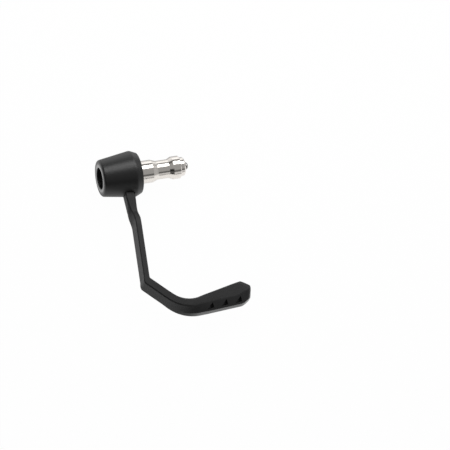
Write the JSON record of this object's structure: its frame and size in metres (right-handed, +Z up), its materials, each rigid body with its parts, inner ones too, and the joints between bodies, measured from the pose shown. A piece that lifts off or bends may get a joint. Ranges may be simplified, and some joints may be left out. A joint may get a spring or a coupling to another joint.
{
  "type": "brake lever guard",
  "caption": "Black bar end for a motorbike handlebar with a steel core, a clamp bolt and a cranked arm whose blade shields the brake lever.",
  "frame": {"origin": "centre of the core's flange face that meets the end of the handlebar tube", "axes": "+X along the handlebar towards its middle, -Y forward along the arm, +Z up"},
  "size_m": [0.1012, 0.1464, 0.0378],
  "materials": {
    "moulded_black": "satin",
    "polished_steel": "polished",
    "fastener_steel": "satin"
  },
  "bodies": {
    "root": {"bar_end_body": "moulded_black", "steel_core": "polished_steel", "guard_arm": "moulded_black", "clamp_bolt": "fastener_steel", "bolt_washer": "fastener_steel"}
  },
  "joints": []
}
